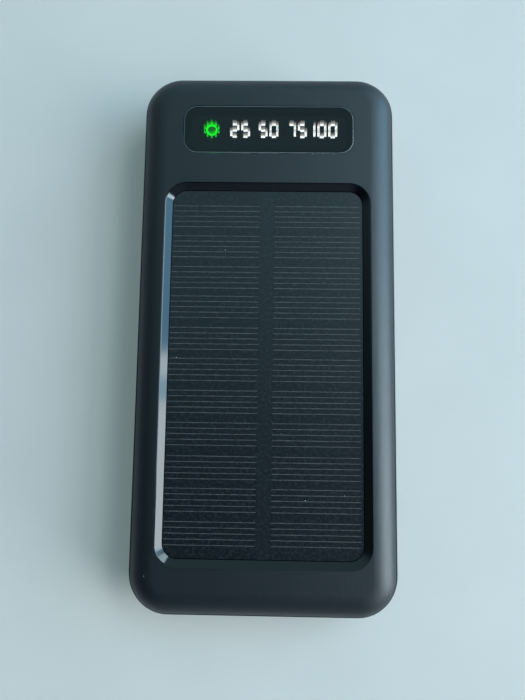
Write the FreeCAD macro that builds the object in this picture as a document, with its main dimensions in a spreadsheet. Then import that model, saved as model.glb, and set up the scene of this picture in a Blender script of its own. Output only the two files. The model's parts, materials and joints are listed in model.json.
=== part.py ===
import FreeCAD, Part
import Sketcher
import math
import os
import re

# Solar phone charger: a flat power bank with a solar panel sunk in its face and a lit display.
# Frame: millimetres, +Z up through the panel, +Y towards the display end, +X to the right.
# The origin is the centre of the back face, which the charger lies on.

SIZES = {
    # casing
    "case_width": 71.7,
    "case_length": 149.6,
    "case_height": 18,
    "corner_radius": 11,
    "edge_radius": 7.2,
    "wall": 2,
    "parting_drop": 4.6,
    "seam_ledge": 0.2,
    "seam_chamfer": 0.3,
    "lip_inset": 2.6,
    "lip_thickness": 0.8,
    "lip_height": 1.3,
    "lip_clearance": 0.1,
    "shoulder_height": 1.1,
    "shoulder_width": 1.7,
    "catch_length": 8,
    "catch_pitch": 40,
    "catch_centre": -10,
    "catch_depth": 0.3,
    "catch_height": 0.5,
    "catch_clearance": 0.1,
    # solar panel bay in the front shell
    "bay_width": 52.6,
    "bay_length": 98.95,
    "bay_radius": 4,
    "bay_centre": -9.82,
    "bay_slope_run": 1.8,
    "bay_slope_drop": 1.2,
    "bay_blend": 0.8,
    "bay_wall": 1.6,
    "bay_floor": 1.2,
    # solar panel
    "panel_clearance": 0.2,
    "panel_cover_thickness": 0.6,
    "cell_thickness": 0.2,
    "panel_board_thickness": 1,
    "panel_tape_thickness": 0.3,
    "solar_cell_edge": 0.25,
    "solar_cell_gap": 3.9,
    "solar_cell_length": 8.2,
    "solar_cell_pitch": 8.497,
    "solar_row_shift": -0.4,
    "strip_width": 3.4,
    "strip_thickness": 0.15,
    # display
    "window_width": 47.4,
    "window_height": 13.8,
    "window_radius": 4,
    "window_thickness": 2.8,
    "window_centre": 56.95,
    "window_clearance": 0.1,
    "window_edge": 0.3,
    "window_tape_thickness": 0.2,
    "window_tape_width": 1.9,
    "window_frame": 1.9,
    "window_ledge": 0.8,
    "display_clearance": 0.3,
    "display_gap": 0.1,
    "mask_thickness": 0.75,
    "glyph_shift": 0.6,
    "glyph_pitch": 8,
    "digit_width": 2.5,
    "digit_height": 4.2,
    "digit_pitch": 3.05,
    "stroke_width": 0.6,
    "stroke_gap": 0.12,
    "hundred_shift": 1,
    "sun_radius": 1.4,
    "sun_line": 0.42,
    "ray_radius": 2.05,
    "ray_diameter": 0.42,
    "chamber_width": 7,
    "chamber_height": 5.4,
    "led_length": 1.6,
    "led_width": 0.8,
    "led_height": 0.5,
    # main board
    "board_thickness": 1.2,
    "board_drop": 4.8,
    "board_width": 62.8,
    "board_low": 43.2,
    "board_end_gap": 3.9,
    "board_corner": 7.5,
    "board_small_corner": 1.5,
    "screw_front_place": 46,
    "screw_rear_place": 66,
    "screw_front_offset": 28.5,
    "screw_rear_offset": 29.2,
    "screw_diameter": 1.6,
    "screw_length": 3,
    "screw_head_diameter": 3.2,
    "screw_head_height": 1.1,
    "screw_clearance": 0.05,
    "screw_pass_clearance": 0.2,
    "screw_tip_gap": 0.3,
    "screw_cross_width": 0.5,
    "screw_cross_length": 1.8,
    "screw_cross_depth": 0.6,
    "boss_diameter": 4.2,
    # what hangs under the main board
    "inductor_size": 7.2,
    "inductor_height": 4.4,
    "inductor_offset": 19,
    "inductor_place": 54,
    "capacitor_diameter": 6.3,
    "capacitor_height": 6.6,
    "capacitor_offset": 7,
    "capacitor_pitch": 8,
    "chip_length": 6,
    "chip_width": 5,
    "chip_height": 1.5,
    "chip_offset": 4,
    "chip_place": 62,
    "chip_part_length": 1.6,
    "chip_part_width": 0.8,
    "chip_part_height": 0.6,
    "chip_part_pitch": 2.4,
    "chip_part_place": 48.2,
    "chip_part_row_pitch": 1.4,
    # sockets on the display end
    "mouth_depth": 0.6,
    "socket_clearance": 0.2,
    "large_socket_offset": 19.5,
    "large_socket_width": 13.1,
    "large_socket_height": 5.7,
    "large_socket_length": 13.8,
    "large_tongue_width": 11.1,
    "large_tongue_thickness": 1.84,
    "large_tongue_length": 8.9,
    "large_tongue_lift": 0.6,
    "oval_socket_offset": -5.5,
    "oval_socket_width": 8.94,
    "oval_socket_height": 3.16,
    "oval_socket_length": 7.3,
    "oval_socket_edge": 1.4,
    "oval_tongue_width": 6.7,
    "oval_tongue_thickness": 0.7,
    "oval_tongue_length": 4.5,
    "small_socket_offset": 6,
    "small_socket_width": 7.5,
    "small_socket_height": 2.6,
    "small_socket_length": 5,
    "small_socket_edge": 0.8,
    "small_tongue_width": 3.8,
    "small_tongue_thickness": 0.6,
    "small_tongue_length": 2.6,
    "socket_sheet": 0.3,
    "large_socket_edge": 0.5,
    "insulator_depth": 2.2,
    "insulator_clearance": 0.05,
    "large_tongue_pitch": 2.2,
    "large_contact_width": 1,
    "oval_tongue_pitch": 0.5,
    "oval_contact_width": 0.25,
    "small_tongue_pitch": 0.65,
    "small_contact_width": 0.3,
    "contact_thickness": 0.15,
    "contact_share": 0.8,
    # a pill shape's corner radius as a share of its height, just short of a half
    "pill_share": 0.45,
    # side button and its switch
    "button_place": 52,
    "button_drop": 2.5,
    "button_width": 10,
    "button_height": 3.6,
    "button_clearance": 0.2,
    "button_setback": 0.1,
    "button_crown": 0.5,
    "button_flange": 0.8,
    "button_flange_lip": 0.8,
    "button_flange_rise": 0.5,
    "button_flange_gap": 0.3,
    "button_post": 0.8,
    "button_travel": 0.3,
    "switch_width": 6,
    "switch_depth": 3.6,
    "switch_height": 3.5,
    "plunger_width": 2.4,
    "plunger_height": 1.6,
    "plunger_reach": 1.1,
    "plunger_root": 0.9,
    "plunger_clearance": 0.1,
    # battery
    "cell_width": 58,
    "cell_length": 100,
    "cell_height": 4.8,
    "cell_edge": 1,
    "cell_round": 0.8,
    "cell_place": -16,
    "cell_terrace": 3,
    "cell_terrace_thickness": 0.6,
    "cell_tape_thickness": 0.3,
    "cell_tape_width": 10,
    "cell_tape_length": 90,
    "cell_tape_spread": 18,
    "foam_width": 48,
    "foam_length": 12,
    "foam_spread": 36,
    "rib_thickness": 1.2,
    "rib_height": 4,
    "rib_clearance": 0.4,
    "tab_width": 5,
    "tab_thickness": 0.15,
    "tab_offset": 12,
    "tab_reach": 2.4,
    "protection_width": 34,
    "protection_depth": 4,
    "protection_gap": 1.8,
    "protection_thickness": 0.8,
    # leads
    "battery_lead_diameter": 1.4,
    "battery_lead_offset": 8,
    "battery_lead_reach": 6.5,
    "solar_lead_diameter": 1,
    "solar_lead_place": 36.6,
    "solar_lead_inset": 6.3,
    "solar_lead_dip": 3.6,
    "solar_lead_pitch": 3,
    "solar_lead_landing": 2.6,
    "lead_hole_clearance": 0.8,
    "terminal_diameter": 2,
}

doc = FreeCAD.newDocument("solar_charger")
sheet = doc.addObject("Spreadsheet::Sheet", "sizes")
for row, (alias, number) in enumerate(SIZES.items(), 1):
    sheet.set(f"A{row}", alias)
    sheet.set(f"B{row}", str(number))
    sheet.setAlias(f"B{row}", alias)
doc.recompute()


# ---- sheet, bodies and sketches ----

def on_sheet(formula):
    """The formula with every size's name pointing at its cell."""
    return re.sub(r"[a-z][a-z_]+", lambda word: f"sizes.{word[0]}" if word[0] in SIZES else word[0],
                  str(formula))


def amount(formula):
    """What a formula of the sheet's sizes comes to."""
    result = sheet.evalExpression(on_sheet(formula))
    return float(getattr(result, "Value", result))


def bind(item, **formulas):
    """Tie properties to the sheet. Place_x, Place_y and Place_z stand for the placement's parts."""
    for name, formula in formulas.items():
        item.setExpression(name.replace("Place_", "Placement.Base."), on_sheet(formula))
    return item


def new_body(label):
    body = doc.addObject("PartDesign::Body", label)
    body.Label = label
    return body


def sketch_on(body, plane, across="0", up="0", out="0"):
    """Sketch on one of the body's own planes, its origin moved across and up, and out along the normal."""
    sketch = body.newObject("Sketcher::SketchObject", "sketch")
    support = next(item for item in body.Origin.OriginFeatures if item.Role == plane + "_Plane")
    sketch.AttachmentSupport = [(support, "")]
    sketch.MapMode = "FlatFace"
    for axis, formula in zip("xyz", (across, up, out)):
        sketch.setExpression("AttachmentOffset.Base." + axis, on_sheet(formula))
    return sketch


def name_datum(sketch, name, constraint, formula):
    sketch.renameConstraint(sketch.addConstraint(constraint), name)
    sketch.setExpression("Constraints." + name, on_sheet(formula))


def add_rectangle(sketch, width, height, radius=None, tag=""):
    """Rectangle about the sketch's origin, its corners round where a radius is given."""
    first = sketch.GeometryCount
    vector = FreeCAD.Vector
    x = amount(width) / 2
    y = amount(height) / 2
    r = amount(radius) if radius else 0
    sides = [Part.LineSegment(vector(r - x, -y), vector(x - r, -y)),
             Part.LineSegment(vector(x, r - y), vector(x, y - r)),
             Part.LineSegment(vector(x - r, y), vector(r - x, y)),
             Part.LineSegment(vector(-x, y - r), vector(-x, r - y))]
    sketch.addGeometry(sides, False)
    relations = [Sketcher.Constraint(("Horizontal", "Vertical")[side % 2], first + side)
                 for side in range(4)]
    if radius:
        centres = [vector(x - r, r - y), vector(x - r, y - r), vector(r - x, y - r), vector(r - x, r - y)]
        for number, centre in enumerate(centres):
            start = math.pi * (1.5 + number / 2)
            circle = Part.Circle(centre, vector(0, 0, 1), r)
            sketch.addGeometry(Part.ArcOfCircle(circle, start, start + math.pi / 2), False)
            arc = first + 4 + number
            relations.append(Sketcher.Constraint("Tangent", first + number, 2, arc, 1))
            relations.append(Sketcher.Constraint("Tangent", arc, 2, first + (number + 1) % 4, 1))
            if number:
                relations.append(Sketcher.Constraint("Equal", first + 4, arc))
    else:
        relations += [Sketcher.Constraint("Coincident", first + side, 2, first + (side + 1) % 4, 1)
                      for side in range(4)]
    relations.append(Sketcher.Constraint("Symmetric", first, 1, first + 2, 1, -1, 1))
    sketch.addConstraint(relations)
    across = Sketcher.Constraint("DistanceX", first + 3, 1, first + 1, 1, 2 * x)
    name_datum(sketch, "width" + tag, across, width)
    upwards = Sketcher.Constraint("DistanceY", first, 1, first + 2, 1, 2 * y)
    name_datum(sketch, "height" + tag, upwards, height)
    if radius:
        name_datum(sketch, "radius" + tag, Sketcher.Constraint("Radius", first + 4, r), radius)
    return sketch


def add_circle(sketch, diameter):
    """Circle about the sketch's origin."""
    circle = Part.Circle(FreeCAD.Vector(0, 0, 0), FreeCAD.Vector(0, 0, 1), amount(diameter) / 2)
    index = sketch.addGeometry(circle, False)
    sketch.addConstraint(Sketcher.Constraint("Coincident", index, 3, -1, 1))
    name_datum(sketch, "diameter", Sketcher.Constraint("Diameter", index, amount(diameter)), diameter)
    return sketch


def grow(body, sketch, length, reverse=False):
    """Pad a sketch, or with reverse, pad it against its plane's normal."""
    feature = body.newObject("PartDesign::Pad", "pad")
    feature.Profile = sketch
    feature.Reversed = reverse
    bind(feature, Length=length)
    doc.recompute()
    return feature


def sink(body, sketch, depth, reverse=False):
    """Pocket a sketch against its plane's normal, or with reverse along it, and be sure it cuts."""
    before = body.Shape.Volume
    feature = body.newObject("PartDesign::Pocket", "pocket")
    feature.Profile = sketch
    feature.Reversed = reverse
    bind(feature, Length=depth)
    doc.recompute()
    if not body.Shape.Volume < before:
        raise RuntimeError(f"a pocket in {body.Label} cuts nothing")
    return feature


def edges_where(shape, test):
    """Names of the edges whose box passes the test."""
    return [f"Edge{number}" for number, edge in enumerate(shape.Edges, 1) if test(edge.BoundBox)]


def soften(body, test, radius, kind="Fillet"):
    """Fillet or chamfer the body's edges whose box passes the test."""
    base = body.Tip
    names = edges_where(base.Shape, test)
    if not names:
        raise RuntimeError(f"no edge to soften in {body.Label}")
    feature = body.newObject("PartDesign::" + kind, kind.lower())
    feature.Base = (base, names)
    bind(feature, **{"Radius" if kind == "Fillet" else "Size": radius})
    doc.recompute()
    return feature


def hollow(body, test, thickness):
    """Leave a wall of the given thickness, open at the faces whose box passes the test."""
    base = body.Tip
    names = [f"Face{number}" for number, face in enumerate(base.Shape.Faces, 1) if test(face.BoundBox)]
    feature = body.newObject("PartDesign::Thickness", "wall")
    feature.Base = (base, names)
    feature.Reversed = True
    feature.Join = 0
    bind(feature, Value=thickness)
    doc.recompute()
    return feature


def level(box, height):
    """Whether a box lies flat at a height."""
    return abs(box.ZMin - height) < 1e-4 and abs(box.ZMax - height) < 1e-4


# ---- primitives and groups ----

def block(name, length, width, height, x="0", y="0", z="0"):
    """Box of the given sizes along X, Y and Z, centred on x and y, standing on z."""
    item = doc.addObject("Part::Box", name)
    item.Label = name
    bind(item, Length=length, Width=width, Height=height,
         Place_x=f"{x} - ({length}) / 2", Place_y=f"{y} - ({width}) / 2", Place_z=z)
    return item


def post(name, diameter, height, x="0", y="0", z="0"):
    """Upright cylinder centred on x and y, standing on z."""
    item = doc.addObject("Part::Cylinder", name)
    item.Label = name
    bind(item, Radius=f"({diameter}) / 2", Height=height, Place_x=x, Place_y=y, Place_z=z)
    return item


def group(name, items):
    """Separate solids kept as one sub-part."""
    item = doc.addObject("Part::Compound", name)
    item.Label = name
    item.Links = items
    return item


def joined(name, items):
    item = doc.addObject("Part::MultiFuse", name)
    item.Label = name
    item.Shapes = items
    return item


def cut(name, base, tool):
    item = doc.addObject("Part::Cut", name)
    item.Label = name
    item.Base = base
    item.Tool = tool
    return item


def slab(label, width, length, radius, bottom, thickness, centre="0"):
    """Flat plate with round corners, centred on X, lying at a height."""
    body = new_body(label)
    outline = sketch_on(body, "XY", up=centre, out=bottom)
    grow(body, add_rectangle(outline, width, length, radius), thickness)
    return body


# ---- levels and places that several sub-parts share ----

panel_top = "(case_height - bay_slope_drop)"
cover_base = f"({panel_top} - panel_cover_thickness)"
cell_base = f"({cover_base} - cell_thickness)"
panel_base = f"({cell_base} - panel_board_thickness)"
bay_base = f"({panel_base} - panel_tape_thickness)"
bay_underside = f"({bay_base} - bay_floor)"
window_base = "(case_height - window_thickness)"
window_seat = f"({window_base} - window_tape_thickness)"
window_underside = f"({window_seat} - window_ledge)"
display_top = f"({window_base} - display_gap)"
mask_base = f"({display_top} - mask_thickness)"
glyph_row = "(window_centre + glyph_shift)"
parting_level = "(case_height - parting_drop)"
board_top = "(case_height - board_drop)"
board_base = f"({board_top} - board_thickness)"
board_end = "(case_length / 2 - board_end_gap)"
button_level = f"({board_base} - button_drop)"
solar_cell_width = "(bay_width / 2 - panel_clearance - solar_cell_edge - solar_cell_gap / 2)"
solar_column_offset = f"((solar_cell_gap + {solar_cell_width}) / 2)"
solar_lead_offset = "(bay_width / 2 - solar_lead_inset)"
solar_lead_level = f"({board_base} - solar_lead_dip)"
socket_mouth = "(case_length / 2 - mouth_depth)"
lower_cell_base = "(wall + cell_tape_thickness)"
upper_cell_base = f"({lower_cell_base} + cell_height + cell_tape_thickness)"
cell_front = "(cell_place + cell_length / 2)"
protection_low = f"({cell_front} + protection_gap)"
protection_base = f"({upper_cell_base} - (cell_tape_thickness + protection_thickness) / 2)"
lead_hole = ("(solar_lead_pitch + solar_lead_diameter + 2 * lead_hole_clearance)",
             "(solar_lead_diameter + 2 * lead_hole_clearance)")
lead_hole_place = f"({solar_lead_offset} + solar_lead_pitch / 2)"
button_inside = "(case_width / 2 - wall - button_flange_gap - button_flange)"
plunger_tip = f"({button_inside} - button_post)"
plunger_level = f"({board_base} - switch_height / 2)"
screw_places = [(side + end_offset, end_place)
                for end_offset, end_place in (("screw_front_offset", "screw_front_place"),
                                              ("screw_rear_offset", "screw_rear_place"))
                for side in ("-", "")]
sockets = [("large", "-large_socket_offset"), ("large", "large_socket_offset"),
           ("oval", "oval_socket_offset"), ("small", "small_socket_offset")]


# ---- casing ----

def casing_half(body, inset, upper):
    """The casing's rounded outline, drawn in by an inset, cut off at the parting plane and hollowed."""
    outline = sketch_on(body, "XY")
    add_rectangle(outline, f"case_width - 2 * {inset}", f"case_length - 2 * {inset}",
                  f"corner_radius - {inset}")
    grow(body, outline, "case_height")
    top = amount("case_height")
    soften(body, lambda box: level(box, 0) or level(box, top), "edge_radius")
    rest = sketch_on(body, "XY", out=parting_level)
    add_rectangle(rest, "case_width + wall", "case_length + wall")
    sink(body, rest, parting_level if upper else "parting_drop", reverse=not upper)
    parting = amount(parting_level)
    hollow(body, lambda box: level(box, parting), "wall")


def open_ports(body):
    """Openings for the sockets in the display end and for the button in the right side."""
    for kind, offset in sockets:
        height = f"{kind}_socket_height"
        mouth = sketch_on(body, "XZ", across=offset, up=f"{board_base} - {height} / 2",
                          out="-(case_length / 2 + wall)")
        add_rectangle(mouth, f"{kind}_socket_width + 2 * socket_clearance",
                      f"{height} + 2 * socket_clearance", f"{kind}_socket_edge + socket_clearance")
        sink(body, mouth, "3 * wall", reverse=True)
    window = sketch_on(body, "YZ", across="button_place", up=button_level, out="case_width / 2 + wall")
    add_rectangle(window, "button_width + 2 * button_clearance", "button_height + 2 * button_clearance",
                  "pill_share * (button_height + 2 * button_clearance)")
    sink(body, window, "3 * wall")


def catches(body, slot):
    """Small bars along both long sides of the lip, or with slot, the slots that they snap into."""
    spare = "catch_clearance" if slot else "0"
    start = "(case_width / 2 - lip_inset - lip_clearance)"
    depth = f"catch_depth + lip_clearance + {spare}"
    middle = f"{parting_level} + lip_height / 2"
    for place in ("catch_centre - catch_pitch", "catch_centre", "catch_centre + catch_pitch"):
        for side, reverse in (("", slot), ("-", not slot)):
            bar = sketch_on(body, "YZ", across=place, up=middle, out=side + start)
            add_rectangle(bar, f"catch_length + 2 * {spare}", f"catch_height + 2 * {spare}")
            if slot:
                sink(body, bar, depth, reverse)
            else:
                grow(body, bar, depth, reverse)


def front_shell():
    """Shallow upper part of the casing, with the sunk panel bay, the window seat and the bosses."""
    body = new_body("front_shell")
    parting = amount(parting_level)
    top = amount("case_height")
    casing_half(body, "seam_ledge", upper=True)
    rims = [wire for wire in body.Shape.Wires if level(wire.BoundBox, parting)]
    outer_rim = max(rims, key=lambda wire: wire.Length).BoundBox
    rim_x = outer_rim.XMax - amount("wall / 2")
    rim_y = outer_rim.YMax - amount("wall / 2")
    soften(body, lambda box: level(box, parting) and (max(-box.XMin, box.XMax) > rim_x
                                                      or max(-box.YMin, box.YMax) > rim_y),
           "seam_chamfer", "Chamfer")
    rebate = sketch_on(body, "XY", out=parting_level)
    inset = "(lip_inset - lip_clearance)"
    add_rectangle(rebate, f"case_width - 2 * {inset}", f"case_length - 2 * {inset}",
                  f"corner_radius - {inset}")
    sink(body, rebate, "lip_height + lip_clearance", reverse=True)

    block_outline = sketch_on(body, "XY", up="bay_centre", out=bay_underside)
    add_rectangle(block_outline, "bay_width + 2 * bay_wall", "bay_length + 2 * bay_wall",
                  "bay_radius + bay_wall")
    grow(body, block_outline, f"case_height - wall / 2 - {bay_underside}")
    bay = sketch_on(body, "XY", up="bay_centre", out="case_height")
    add_rectangle(bay, "bay_width", "bay_length", "bay_radius")
    sink(body, bay, f"case_height - {bay_base}")
    half_width = amount("bay_width / 2")
    low = amount("bay_centre - bay_length / 2")
    high = amount("bay_centre + bay_length / 2")

    def on_bay_rim(box, reach):
        return (level(box, top) and max(-box.XMin, box.XMax) < half_width + reach
                and box.YMin > low - reach and box.YMax < high + reach)

    slope = soften(body, lambda box: on_bay_rim(box, 0.01), "bay_slope_run", "Chamfer")
    slope.ChamferType = "Two distances"
    bind(slope, Size2="bay_slope_drop")
    doc.recompute()
    run = amount("bay_slope_run")
    soften(body, lambda box: on_bay_rim(box, run + 0.01), "bay_blend")

    seat_block = sketch_on(body, "XY", up="window_centre", out=window_underside)
    add_rectangle(seat_block, "window_width + 2 * window_frame", "window_height + 2 * window_frame",
                  "window_radius + window_frame")
    grow(body, seat_block, f"case_height - wall / 2 - {window_underside}")
    seat = sketch_on(body, "XY", up="window_centre", out="case_height")
    add_rectangle(seat, "window_width + 2 * window_clearance", "window_height + 2 * window_clearance",
                  "window_radius + window_clearance")
    sink(body, seat, f"case_height - {window_seat}")
    opening = sketch_on(body, "XY", up="window_centre", out="case_height")
    add_rectangle(opening, "window_width - 2 * window_tape_width", "window_height - 2 * window_tape_width",
                  "window_radius - window_tape_width")
    sink(body, opening, f"case_height - {window_underside} + window_ledge")

    for across, up in screw_places:
        boss = sketch_on(body, "XY", across=across, up=up, out=board_top)
        grow(body, add_circle(boss, "boss_diameter"), "board_drop - 0.75 * wall")
        hole = sketch_on(body, "XY", across=across, up=up, out=board_top)
        sink(body, add_circle(hole, "screw_diameter + 2 * screw_clearance"), "screw_length", reverse=True)
    slot = sketch_on(body, "XY", across=lead_hole_place, up="solar_lead_place", out=bay_base)
    add_rectangle(slot, *lead_hole, f"pill_share * {lead_hole[1]}")
    sink(body, slot, "bay_floor")
    catches(body, slot=True)
    return body


def back_shell():
    """Deep lower part of the casing, with the lip that enters the front shell and the battery's ribs."""
    body = new_body("back_shell")
    casing_half(body, "0", upper=False)
    inner = "(lip_inset + lip_thickness)"
    for base, outer, height in ((f"{parting_level} - shoulder_height", f"({inner} - shoulder_width)",
                                 "shoulder_height"),
                                (parting_level, "lip_inset", "lip_height")):
        ring = sketch_on(body, "XY", out=base)
        for tag, inset in (("_out", outer), ("_in", inner)):
            add_rectangle(ring, f"case_width - 2 * {inset}", f"case_length - 2 * {inset}",
                          f"corner_radius - {inset}", tag)
        grow(body, ring, height)
    ribs = sketch_on(body, "XY", up="cell_place", out="wall / 2")
    for tag, spare in (("_out", "(rib_clearance + rib_thickness)"), ("_in", "rib_clearance")):
        add_rectangle(ribs, f"cell_width + 2 * {spare}", f"cell_length + 2 * {spare}",
                      f"cell_edge + {spare}", tag)
    grow(body, ribs, "wall / 2 + rib_height")
    gate = sketch_on(body, "XY", up=f"{cell_front} + rib_clearance + rib_thickness / 2",
                     out="wall + rib_height")
    add_rectangle(gate, "protection_width", "2 * rib_thickness")
    sink(body, gate, "rib_height - rib_clearance")
    catches(body, slot=False)
    open_ports(body)
    return body


# ---- solar panel ----

CELL_ROWS = 11


def panel_sheet(label, base, thickness):
    """Plate that fills the bay's plan, less the panel's clearance."""
    return slab(label, "bay_width - 2 * panel_clearance", "bay_length - 2 * panel_clearance",
                "bay_radius - panel_clearance", base, thickness, "bay_centre")


def solar_column(label, side):
    """One column of cells, from the display end down."""
    first = f"bay_centre + solar_row_shift + {(CELL_ROWS - 1) / 2} * solar_cell_pitch"
    cells = [block(f"{label}_{row + 1}", solar_cell_width, "solar_cell_length", "cell_thickness",
                   side + solar_column_offset, f"({first} - {row} * solar_cell_pitch)", cell_base)
             for row in range(CELL_ROWS)]
    return group(label, cells)


def solar_panel():
    cover = panel_sheet("panel_cover", cover_base, "panel_cover_thickness")
    tape = panel_sheet("panel_tape", bay_base, "panel_tape_thickness")
    gap = sketch_on(tape, "XY", across=lead_hole_place, up="solar_lead_place", out=panel_base)
    add_rectangle(gap, *lead_hole, f"pill_share * {lead_hole[1]}")
    sink(tape, gap, "panel_tape_thickness")
    terminals = [post(f"terminal_{number}", "terminal_diameter", "panel_tape_thickness",
                      f"{solar_lead_offset} + {number} * solar_lead_pitch", "solar_lead_place", bay_base)
                 for number in range(2)]
    return [cover, tape,
            panel_sheet("panel_board", panel_base, "panel_board_thickness"),
            solar_column("solar_cells_left", "-"),
            solar_column("solar_cells_right", ""),
            block("centre_strip", "strip_width", "bay_length - 4 * panel_clearance", "strip_thickness",
                  "0", "bay_centre", cell_base),
            group("panel_terminals", terminals)]


# ---- display ----

SEGMENTS = {"0": "abcdef", "1": "bc", "2": "abged", "5": "afgcd", "7": "abc"}


def digit_strokes(name, digit, place, mark_across, mark_up, upright):
    """The lit strokes of one digit: a is its top, the letters go on clockwise, and g is its middle."""
    across = "digit_width - 2 * stroke_width - stroke_gap"
    places = {"a": (0, 1), "b": (1, 1), "c": (1, -1), "d": (0, -1), "e": (-1, -1), "f": (-1, 1),
              "g": (0, 0)}
    strokes = []
    for letter in SEGMENTS[digit]:
        side, rise = places[letter]
        if side:
            size = ("stroke_width", upright)
            y = f"({glyph_row} + {rise} * {mark_up})"
        else:
            size = (across, "stroke_width")
            y = f"({glyph_row} + {rise} * (digit_height - stroke_width) / 2)"
        strokes.append(block(f"{name}_{letter}", *size, "mask_thickness",
                             f"({place} + {side} * {mark_across})", y, mask_base))
    return strokes


def display_marks():
    """Diffusers in the shape of the numbers 25, 50, 75 and 100 and of a small sun."""
    upright = "(digit_height / 2 - 0.75 * stroke_width - stroke_gap)"
    mark_across = "(digit_width - stroke_width) / 2"
    mark_up = f"(digit_height / 2 - 0.75 * stroke_width - {upright} / 2)"
    strokes = []
    for number, text in enumerate(("25", "50", "75", "100")):
        for place, digit in enumerate(text):
            if len(text) == 2:
                shift = f"{place - 0.5} * digit_pitch"
            else:
                shift = f"{place - 1} * digit_pitch - hundred_shift"
            strokes += digit_strokes(f"stroke_{text}_{place}", digit,
                                     f"({number - 1} * glyph_pitch + {shift})",
                                     mark_across, mark_up, upright)
    sun = "-2 * glyph_pitch"
    disc = post("sun_disc", "2 * sun_radius + sun_line", "mask_thickness", sun, glyph_row, mask_base)
    core = post("sun_core", "2 * sun_radius - sun_line", "mask_thickness", sun, glyph_row, mask_base)
    rays = [post(f"ray_{ray}", "ray_diameter", "mask_thickness",
                 f"{sun} + ray_radius * cos({36 * ray + 18})",
                 f"{glyph_row} + ray_radius * sin({36 * ray + 18})", mask_base)
            for ray in range(10)]
    return group("digit_diffusers", strokes), group("sun_diffuser", [cut("sun_ring", disc, core)] + rays)


def display():
    window = slab("display_window", "window_width", "window_height", "window_radius", window_base,
                  "window_thickness", "window_centre")
    top = amount("case_height")
    soften(window, lambda box: level(box, top), "window_edge")
    tape = new_body("window_tape")
    ring = sketch_on(tape, "XY", up="window_centre", out=window_seat)
    add_rectangle(ring, "window_width", "window_height", "window_radius", "_out")
    add_rectangle(ring, "window_width - 2 * window_tape_width", "window_height - 2 * window_tape_width",
                  "window_radius - window_tape_width", "_in")
    grow(tape, ring, "window_tape_thickness")
    digits, sun = display_marks()
    inset = "2 * (window_tape_width + display_clearance)"
    plain = slab("display_plain", f"window_width - {inset}", f"window_height - {inset}",
                 "window_radius - window_tape_width - display_clearance", board_top,
                 f"{display_top} - {board_top}", "window_centre")
    depth = f"{mask_base} - {board_top}"
    chambers = [block(f"chamber_{number}", "chamber_width", "chamber_height", depth,
                      f"{number - 1} * glyph_pitch", glyph_row, board_top) for number in range(4)]
    chambers.append(post("chamber_sun", "chamber_height", depth, "-2 * glyph_pitch", glyph_row, board_top))
    housing = cut("display_block", plain, group("display_cavities", chambers + [digits, sun]))
    lamps = [block(f"white_led_{number}_{side + 1}", "led_length", "led_width", "led_height",
                   f"({number - 1} * glyph_pitch + {side} * digit_pitch / 2)", glyph_row, board_top)
             for number in range(4) for side in (-1, 1)]
    green = block("green_led", "led_length", "led_width", "led_height", "-2 * glyph_pitch", glyph_row,
                  board_top)
    return [window, tape, housing, digits, sun, group("white_leds", lamps), green]


# ---- main board and what is on it ----

def main_board():
    """Board with large corners at the display end, where the casing is round, and four screw holes."""
    body = new_body("main_board")
    outline = sketch_on(body, "XY", up=f"(board_low + {board_end}) / 2", out=board_base)
    grow(body, add_rectangle(outline, "board_width", f"{board_end} - board_low"), "board_thickness")
    middle = amount(f"(board_low + {board_end}) / 2")

    def upright(box):
        return box.ZLength > 1e-3 and box.XLength < 1e-3 and box.YLength < 1e-3

    soften(body, lambda box: upright(box) and box.YMin > middle, "board_corner")
    soften(body, lambda box: upright(box) and box.YMax < middle, "board_small_corner")
    for across, up in screw_places:
        hole = sketch_on(body, "XY", across=across, up=up, out=board_top)
        sink(body, add_circle(hole, "screw_diameter + 2 * screw_pass_clearance"), "board_thickness")
    return body


def board_screws():
    """Cross-head self-tapping screws, driven up through the board into the front shell's bosses."""
    screws = []
    for number, (x, y) in enumerate(screw_places):
        head = post(f"screw_head_{number}", "screw_head_diameter", "screw_head_height", x, y,
                    f"{board_base} - screw_head_height")
        shank = post(f"screw_shank_{number}", "screw_diameter",
                     "board_thickness + screw_length - screw_tip_gap", x, y, board_base)
        cross = [block(f"screw_cross_{number}_{arm}", *size, "screw_cross_depth", x, y,
                       f"{board_base} - screw_head_height")
                 for arm, size in enumerate((("screw_cross_length", "screw_cross_width"),
                                             ("screw_cross_width", "screw_cross_length")))]
        screws.append(cut(f"screw_{number}", joined(f"screw_blank_{number}", [head, shank]),
                          joined(f"screw_recess_{number}", cross)))
    return group("board_screws", screws)


def hung(name, length, width, height, x, y):
    """Block soldered under the board."""
    return block(name, length, width, height, x, y, f"({board_base} - ({height}))")


def board_parts():
    cans = [post(f"capacitor_{number}", "capacitor_diameter", "capacitor_height",
                 f"capacitor_offset + {number} * capacitor_pitch", "inductor_place",
                 f"{board_base} - capacitor_height") for number in range(2)]
    chips = [hung(name, "chip_length", "chip_width", "chip_height", *place)
             for name, place in (("charge_chip", ("-chip_offset", "inductor_place")),
                                 ("control_chip", ("0", "chip_place")))]
    small = [hung(f"chip_part_{row}_{column}", "chip_part_length", "chip_part_width", "chip_part_height",
                  f"({column - 2.5} * chip_part_pitch - chip_offset)",
                  f"(chip_part_place + {row} * chip_part_row_pitch)")
             for row in range(2) for column in range(6)]
    return [group("capacitors", cans), group("control_chips", chips), group("chip_parts", small),
            hung("inductor", "inductor_size", "inductor_size", "inductor_height", "-inductor_offset",
                 "inductor_place")]


# ---- sockets ----

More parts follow.
